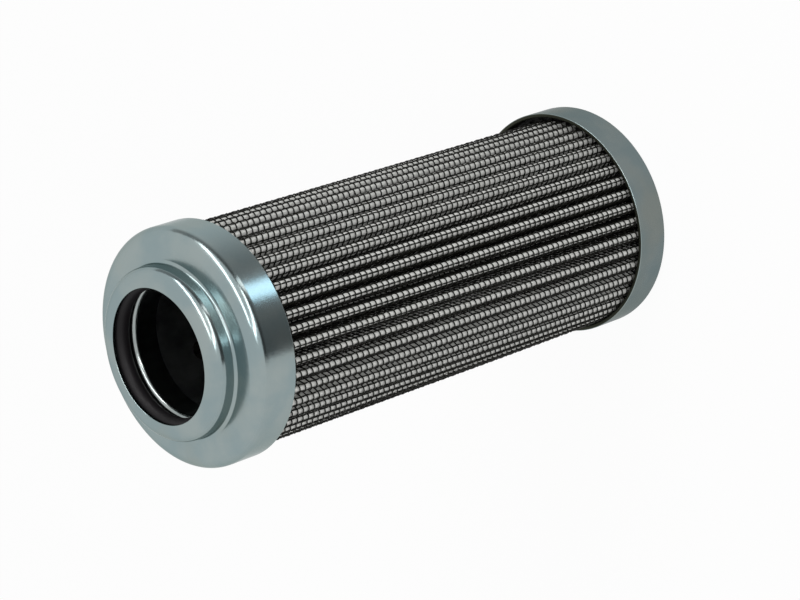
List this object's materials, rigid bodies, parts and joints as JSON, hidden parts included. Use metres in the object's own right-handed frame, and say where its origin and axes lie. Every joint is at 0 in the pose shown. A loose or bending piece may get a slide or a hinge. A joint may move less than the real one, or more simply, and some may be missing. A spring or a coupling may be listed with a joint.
{
  "type": "hydraulic filter element",
  "caption": "Pleated hydraulic filter element: a wire-mesh pleat pack between a drawn open cap with a sealed neck and a plain closed cap.",
  "frame": {"origin": "centre of the flat outer face of the closed end cap, on which the element stands", "axes": "+Z along the element's axis, from the closed end to the open neck; X and Y are free, because the caps are round"},
  "size_m": [0.046, 0.046, 0.115],
  "materials": {
    "zinc_sheet": "bright zinc-plated drawn steel sheet, pale blue-grey",
    "retainer_steel": "zinc-plated drawn steel, a little duller inside",
    "tube_steel": "perforated steel tube, dull",
    "coated_mesh": "woven steel wire with a black epoxy coating",
    "fleece": "matt light grey synthetic fleece",
    "glass_media": "off-white glass fibre medium",
    "seal_rubber": "black nitrile rubber, satin",
    "adhesive": "black cured epoxy adhesive"
  },
  "bodies": {
    "root": {"open_end_cap": "zinc_sheet", "closed_end_cap": "zinc_sheet", "seal_ring": "seal_rubber", "seal_retainer": "retainer_steel", "support_tube": "tube_steel", "inner_mesh": "coated_mesh", "inner_fleece": "fleece", "filter_media": "glass_media", "outer_fleece": "fleece", "outer_mesh": "coated_mesh", "upper_potting": "adhesive", "lower_potting": "adhesive"}
  },
  "joints": []
}
